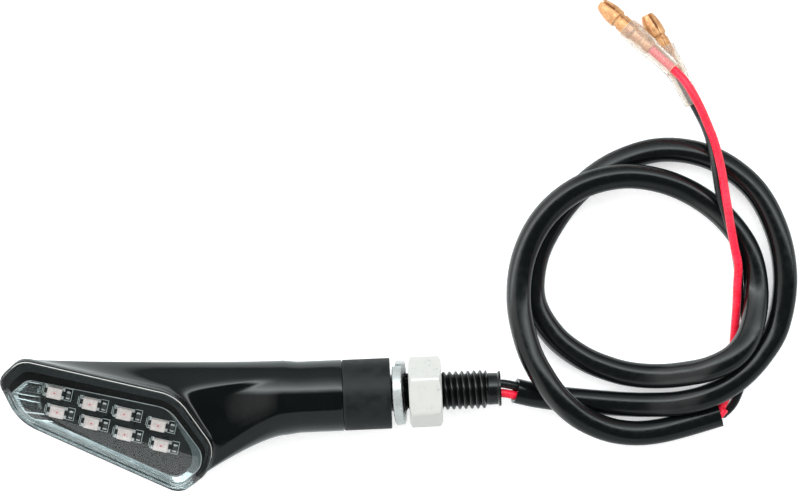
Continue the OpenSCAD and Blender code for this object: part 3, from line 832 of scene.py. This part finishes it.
def strip(name, lines, width, height, mat):
    """Thin flat printed lines: each is a list of points (along, across, emitter index)."""
    verts, faces = [], []
    for line in lines:
        for (x0, y0, i), (x1, y1, j) in zip(line, line[1:]):
            d = Vector((x1 - x0, y1 - y0)).normalized() * width / 2
            n = Vector((-d.y, d.x))
            for z in (0.01, height):
                for p in ((x0 - d.x + n.x, y0 - d.y + n.y), (x0 - d.x - n.x, y0 - d.y - n.y),
                          (x1 + d.x - n.x, y1 + d.y - n.y), (x1 + d.x + n.x, y1 + d.y + n.y)):
                    verts.append(on_board((*p, z), LED_AT[i]))
            k = len(verts) - 8
            sides = ((0, 3, 2, 1), (4, 5, 6, 7), (0, 1, 5, 4), (1, 2, 6, 5), (2, 3, 7, 6), (3, 0, 4, 7))
            faces += [tuple(k + q for q in f) for f in sides]
    mesh_piece = piece(name, verts, faces, mat, "head", 30)


def make_print(white):
    lines = []
    for i in range(8):
        lines.append([(-1.75, 1.3, i), (-2.25, 1.3, i), (-2.25, -1.1, i), (-1.75, -1.1, i)])
        lines.append([(2.2, 1.35, i), (3.6, 1.35, i), (3.6, -1.25, i), (2.2, -1.25, i)])
        lines.append([(-2.55, 0.9, i), (-2.55, -0.7, i)])
    strip("board_print", lines, 0.11, 0.035, white)


def make_pads(tin):
    lines = [[(-1.7, y, i), (1.7, y, i)] for i in range(8) for y in (-0.9, 0.9)]
    strip("board_pads", lines, 0.7, 0.02, tin)


def board_material():
    m = material("board_mask", (0.006, 0.01, 0.01), 0.3, Specular_IOR_Level=0.3)
    n = Nodes(m)
    n.paint(n.noise(0.2, 2), [(0.3, (0.007, 0.011, 0.011)), (0.7, (0.011, 0.016, 0.016))])
    n.rough(n.noise(0.3, 2), 0.26, 0.34)
    return m


def plain_noise(name, color, rough, metal=0.0, depth=0.01, **kw):
    m = material(name, color, rough, metal, **kw)
    n = Nodes(m)
    n.paint(n.noise(1.8, 4), [(0.3, tuple(0.82 * c for c in color)), (0.7, color)])
    n.rough(n.noise(2.7, 4), rough * 0.75, min(1.0, rough * 1.35))
    n.bump(n.noise(5, 3), depth, 0.5)
    return m


def repaint(node, mat):
    obj = frame["nodes"][node]
    for s in obj.material_slots:
        s.material = mat
    if not obj.material_slots:
        obj.data.materials.append(mat)


def make_head():
    make_housing()
    make_lens()
    metal = tray_material()
    # Painted shade: two duller copies of the tray metal for its shaded walls.
    grey = plain_noise("tray_painted_side_shade", (0.09, 0.125, 0.13), 0.3, depth=0.002)
    dark = plain_noise("tray_painted_deep_shade", (0.016, 0.024, 0.025), 0.25, depth=0.002)
    line = make_tray(metal, grey, dark)
    make_skirt(metal)
    bright = plain_noise("lip_bright", (0.5, 0.56, 0.56), 0.3, 0.2)
    make_lip(bright, line)
    package = plain_noise("led_package", (0.95, 0.86, 0.83), 0.45, depth=0.003)
    resin = plain_noise("led_resin", (0.95, 0.8, 0.77), 0.2, depth=0.003)
    die = plain_noise("led_die", (0.7, 0.08, 0.12), 0.4)
    chip = plain_noise("chip_dark", (0.05, 0.06, 0.06), 0.4)
    tin = plain_noise("solder_tin", (0.75, 0.77, 0.78), 0.3, 1.0)
    white = plain_noise("print_white", (0.6, 0.68, 0.67), 0.6)
    for i in range(8):
        make_led(i, (package, resin, die))
        make_resistor(i, (chip, tin))
    make_print(white)
    make_pads(tin)
    repaint("pcb", board_material())
    make_bezel(plain_noise("bezel_black", (0.0016, 0.002, 0.002), 0.5, depth=0.003, Specular_IOR_Level=0.12),
               plain_noise("bezel_painted_sheen", (0.02, 0.028, 0.03), 0.45, depth=0.003, Specular_IOR_Level=0.3))
    repaint("lens_seal", rubber_black("seal_rubber"))
    repaint("diode", chip)
    for node in ("solder_red", "solder_black"):
        repaint(node, tin)
    repaint("stem_insert", plated("insert_zinc", (0.62, 0.63, 0.65), 0.3))


# ---------------------------------------------------------------- leads inside the housing
def make_leads():
    for colour, mat in (("red", red_wire), ("black", black_wire)):
        side = -1 if colour == "red" else 1
        u, v = (7.6, -7.2) if colour == "red" else (9.6, -4.4)
        start = on_lens((u, v, BOARD_BACK - 0.8))
        low = on_lens((u + 0.4, v + 0.1, BOARD_BACK - 1.6))
        neck = Vector((-26, side * WIRE_GAP * 1.2, AXIS_Z))
        on_way = on_lens((u + 2.5, v + 1.2, BOARD_BACK - 2.2)).lerp(neck, 0.15)
        points = [start, low, on_way, (-22, side * WIRE_GAP * 1.1, AXIS_Z)]
        points += [(x, side * WIRE_GAP, AXIS_Z) for x in (-17, -10, 2.4)]
        rings = tube_rings(spline(points, 1.2), lambda i: round_section(WIRE_D / 2 - 0.01, 12))
        verts, faces = skin(rings, caps=True)
        obj = piece(f"lead_{colour}_tail", verts, faces, mat, "head", 40, [f"lead_{colour}"])


# ---------------------------------------------------------------- stem, stud, washer, nut, grommet
SHANK_R, CREST_R, ROOT_R, PITCH, STUD_BORE = 3.8, 4.0, 3.23, 1.25, 2.3


def make_collar():
    """The rubber collar in two lengths that meet at its middle."""
    rubber = rubber_black("collar_rubber")
    middle = 4.9
    r, plug = 7.3, 5.35

    def length(name, points, start, end):
        verts, faces = turned(points, 128)
        obj = piece(name, verts, faces, rubber, None, 40)
        row((start, 0, AXIS_Z))
        row((end, 0, AXIS_Z))
        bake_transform(obj)
        return obj

    steps = [0.35 + 0.45 * k for k in range(11)]
    first = [(-PLUG, STUD_BORE), (-PLUG, plug), (-3, plug), (0, plug), (0.02, r - 0.28), (0.08, r - 0.14),
             (0.2, r - 0.04)]
    first += [(x, r) for x in steps if x < middle] + [(middle, r), (middle, STUD_BORE)]
    first += [(x, STUD_BORE) for x in reversed(steps) if x < middle] + [(-3, STUD_BORE)]
    last = [(middle, STUD_BORE), (middle, r)] + [(middle + 0.45 * k, r) for k in range(1, 10)]
    last += [(COLLAR_END - 0.3, r), (COLLAR_END - 0.12, r - 0.04), (COLLAR_END - 0.03, r - 0.13),
             (COLLAR_END, r - 0.28)]
    last += [(COLLAR_END, SHANK_R + 0.03), (8.45, SHANK_R + 0.03), (8.45, 5.34), (6.35, 5.34),
             (6.35, STUD_BORE)]
    head_end = length("collar_head_end", first, 0.3, 4.7)
    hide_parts("collar")
    length("collar_stud_end", last, 5.1, 9.6)


def thread_radius(phase):
    """Thread profile over one pitch: rounded root and rounded crest."""
    wave = 0.5 - 0.5 * math.cos(2 * math.pi * phase)
    return ROOT_R + (CREST_R - 0.01 - ROOT_R) * wave ** 0.6


def make_stud():
    """One continuous helical thread over a hollow shank, with the flange that sits in the collar."""
    black = gloss_black("stud_black", (0.0025, 0.003, 0.003), 0.18)
    columns = 72
    per_pitch = 14
    x0, x1 = COLLAR_END + 0.35, STUD_END
    rows = int((x1 - x0) / PITCH + 2) * per_pitch
    verts, faces = [], []
    for i in range(rows + 1):
        for j in range(columns + 1):
            a = j / columns
            x = x0 + (i / per_pitch + a - 1) * PITCH
            r = thread_radius(i / per_pitch)
            end_cut = max(0.0, min(1.0, (STUD_END - 0.05 - x) / 0.7))
            r = STUD_BORE + 0.45 + (r - STUD_BORE - 0.45) * min(1.0, 0.45 + end_cut)
            start_cut = max(0.0, min(1.0, (x - x0) / 0.8))
            r = SHANK_R + (r - SHANK_R) * start_cut
            x = min(max(x, x0), x1)
            t = 2 * math.pi * a
            verts.append((x, r * math.cos(t), AXIS_Z + r * math.sin(t)))
    for i in range(rows):
        for j in range(columns):
            k = i * (columns + 1) + j
            faces.append((k, k + 1, k + columns + 2, k + columns + 1))
    obj = piece("stud_thread", verts, faces, black, "stud_side", 55, ["stud"])
    core = [(6.4, STUD_BORE), (6.4, 5.28), (8.4, 5.28), (8.4, SHANK_R), (x0 + 0.1, SHANK_R - 0.02),
            (x0 + 0.1, ROOT_R - 0.1),
            (STUD_END - 0.02, ROOT_R - 0.1), (STUD_END, STUD_BORE + 0.05), (STUD_END, STUD_BORE)]
    verts, faces = turned(eased(core, 0.05, 2), 72)
    core_obj = piece("stud_core", verts, faces, black, "stud_side", 40)


WASHER_IN, WASHER_OUT, WASHER_T = 4.25, 6.6, 1.9
WASHER_X, WASHER_RISE, WASHER_TILT, WASHER_SPLIT = 10.58, 0.5, 0.075, 28


def make_washer():
    zinc = plated("washer_zinc", (0.66, 0.69, 0.69), 0.25, grain=(0.3, 0.6, 0.6), metal=0.6, depth=0.001)
    section = eased([(WASHER_IN, 0), (WASHER_IN, WASHER_T), (WASHER_OUT, WASHER_T), (WASHER_OUT, 0)],
                    0.38, 4)
    rings = []
    steps = 132
    for i in range(steps + 1):
        a = math.radians(WASHER_SPLIT + 4 + 352 * i / steps)
        ring = []
        for q, x in section:
            z = q * math.sin(a)
            ring.append((WASHER_X + WASHER_RISE * i / steps + x - WASHER_TILT * z, q * math.cos(a),
                         AXIS_Z + z))
        rings.append(ring)
    verts, faces = skin(rings, caps=True)
    obj = piece("spring_washer_ring", verts, faces, zinc, "washer", 45, ["spring_washer"])


def make_nut():
    """A hexagon nut with turned chamfers, whose arcs meet the flats."""
    zinc = plated("nut_zinc", (0.7, 0.69, 0.66), 0.34, metal=0.4, spots=(0.5, 0.53, 0.53), depth=0.008)
    apothem, turn_by = 6.5, math.radians(90 - 22)
    bore, land = 4.05, 6.35
    slope = math.tan(math.radians(26))
    rings = []
    steps = 240
    for k in range(steps):
        a = 2 * math.pi * k / steps
        faces6 = [max(0.0, math.cos(a - turn_by - math.radians(30 + 60 * f))) / apothem for f in range(6)]
        r = sum(c ** 44 for c in faces6) ** (-1 / 44)
        r = min(r, 7.42)
        x0, x1 = NUT_X, NUT_END
        cone = max(0.0, r - land) * slope
        profile = [(x0 + 0.44, bore), (x0, bore + 0.45), (x0, land - 0.3), (x0, land - 0.02),
                   (x0 + 0.03, land + 0.02),
                   (x0 + cone, r - 0.03), (x0 + cone + 0.06, r), (x0 + cone + 0.5, r), ((x0 + x1) / 2, r),
                   (x1 - cone - 0.5, r), (x1 - cone - 0.06, r), (x1 - cone, r - 0.03),
                   (x1 - 0.03, land + 0.02),
                   (x1, land - 0.02), (x1, land - 0.3), (x1, bore + 0.45), (x1 - 0.44, bore)]
        rings.append([(x, q * math.cos(a), AXIS_Z + q * math.sin(a)) for x, q in profile])
    verts, faces = skin(rings, closed=True)
    obj = piece("hex_nut_body", verts, faces, zinc, "nut", 24, ["hex_nut"])


def make_grommet():
    end = STUD_END + 2.6
    body = [(26, 0.05), (26, 2.24), (STUD_END, 2.24), (STUD_END, 3.3), (end - 0.7, 3.25), (end - 0.5, 3.62),
            (end - 0.04, 3.62),
            (end - 0.04, 2.1), (end - 0.35, 1.9), (end - 0.35, 0.05)]
    verts, faces = turned(eased(body, 0.12), 72)
    obj = piece("grommet_boot", verts, faces, gloss_black("grommet_black", rough=0.2), "stud_side", 45,
                ["grommet"])


make_head()
make_leads()
make_collar()
make_stud()
make_washer()
make_nut()
make_grommet()


# ---------------------------------------------------------------- studio
def soft_light(name, place, size, radiance, aim=(0, 0, 0), glossy=True):
    """A rectangular soft light of a given brightness, turned to aim at a point."""
    data = bpy.data.lights.new(name, "AREA")
    data.shape = "RECTANGLE"
    data.size, data.size_y = size
    data.energy = radiance * math.pi * size[0] * size[1]
    obj = bpy.data.objects.new(name, data)
    obj.location = place
    obj.rotation_euler = (Vector(aim) - Vector(place)).to_track_quat("-Z", "Y").to_euler()
    obj.visible_glossy = glossy
    bpy.context.scene.collection.objects.link(obj)


# Brightness of the studio round the stud axis, by degrees from overhead, positive towards the front (-Y).
STUDIO = [(-180, 0.9), (-115, 0.9), (-104, 0.2), (-85, 0.3), (-67, 0.4), (-52, 0.8), (-39, 1.9), (-26, 3.8),
          (-16, 0.8),
          (-11, 0.05), (45, 0.05), (54, 0.5), (100, 0.55), (180, 0.8)]


PEAK = 4.0                                  # what a full ramp colour stands for


def make_world():
    """Soft surroundings whose brightness depends on direction only."""
    world = bpy.data.worlds.new("world")
    world.use_nodes = True
    tree = world.node_tree
    back = tree.nodes["Background"]
    place = tree.nodes.new("ShaderNodeTexCoord")
    split = tree.nodes.new("ShaderNodeSeparateXYZ")
    flip = tree.nodes.new("ShaderNodeMath")
    flip.operation = "MULTIPLY"
    flip.inputs[1].default_value = -1
    angle = tree.nodes.new("ShaderNodeMath")
    angle.operation = "ARCTAN2"
    share = tree.nodes.new("ShaderNodeMapRange")
    share.inputs["From Min"].default_value = -math.pi
    share.inputs["From Max"].default_value = math.pi
    ramp = tree.nodes.new("ShaderNodeValToRGB")
    while len(ramp.color_ramp.elements) < len(STUDIO):
        ramp.color_ramp.elements.new(0.5)
    for e, (degrees, level) in zip(ramp.color_ramp.elements, STUDIO):
        e.position = (degrees + 180) / 360
        e.color = (0.92 * level / PEAK, level / PEAK, level / PEAK, 1)
    tree.links.new(place.outputs["Generated"], split.inputs[0])
    tree.links.new(split.outputs["Y"], flip.inputs[0])
    tree.links.new(flip.outputs[0], angle.inputs[0])
    tree.links.new(split.outputs["Z"], angle.inputs[1])
    tree.links.new(angle.outputs[0], share.inputs["Value"])
    tree.links.new(share.outputs["Result"], ramp.inputs["Fac"])
    back.inputs["Strength"].default_value = PEAK
    left = tree.nodes.new("ShaderNodeMapRange")
    for key, value in (("From Min", -0.2), ("From Max", -0.55), ("To Min", 0), ("To Max", 0.8 / PEAK)):
        left.inputs[key].default_value = value
    tree.links.new(split.outputs["X"], left.inputs["Value"])
    total = tree.nodes.new("ShaderNodeVectorMath")
    total.operation = "ADD"
    tree.links.new(ramp.outputs["Color"], total.inputs[0])
    tree.links.new(left.outputs["Result"], total.inputs[1])
    tree.links.new(total.outputs[0], back.inputs["Color"])
    bpy.context.scene.world = world


def make_studio():
    bpy.ops.mesh.primitive_plane_add(size=8, location=(0, 0, -0.0002))
    floor = bpy.context.object
    floor.name = "floor"
    paper = plain_noise("floor_paper", (0.9, 0.9, 0.9), 0.7, depth=0.02, Emission_Color=(1, 1, 1, 1),
                        Emission_Strength=0.42)
    floor.data.materials.append(paper)
    floor.visible_glossy = False
    soft_light("overhead", (0.1, 0.1, 1.6), (2.4, 2.4), 1.9, glossy=False)
    make_world()
    bpy.context.scene.view_settings.view_transform = "Standard"


make_studio()
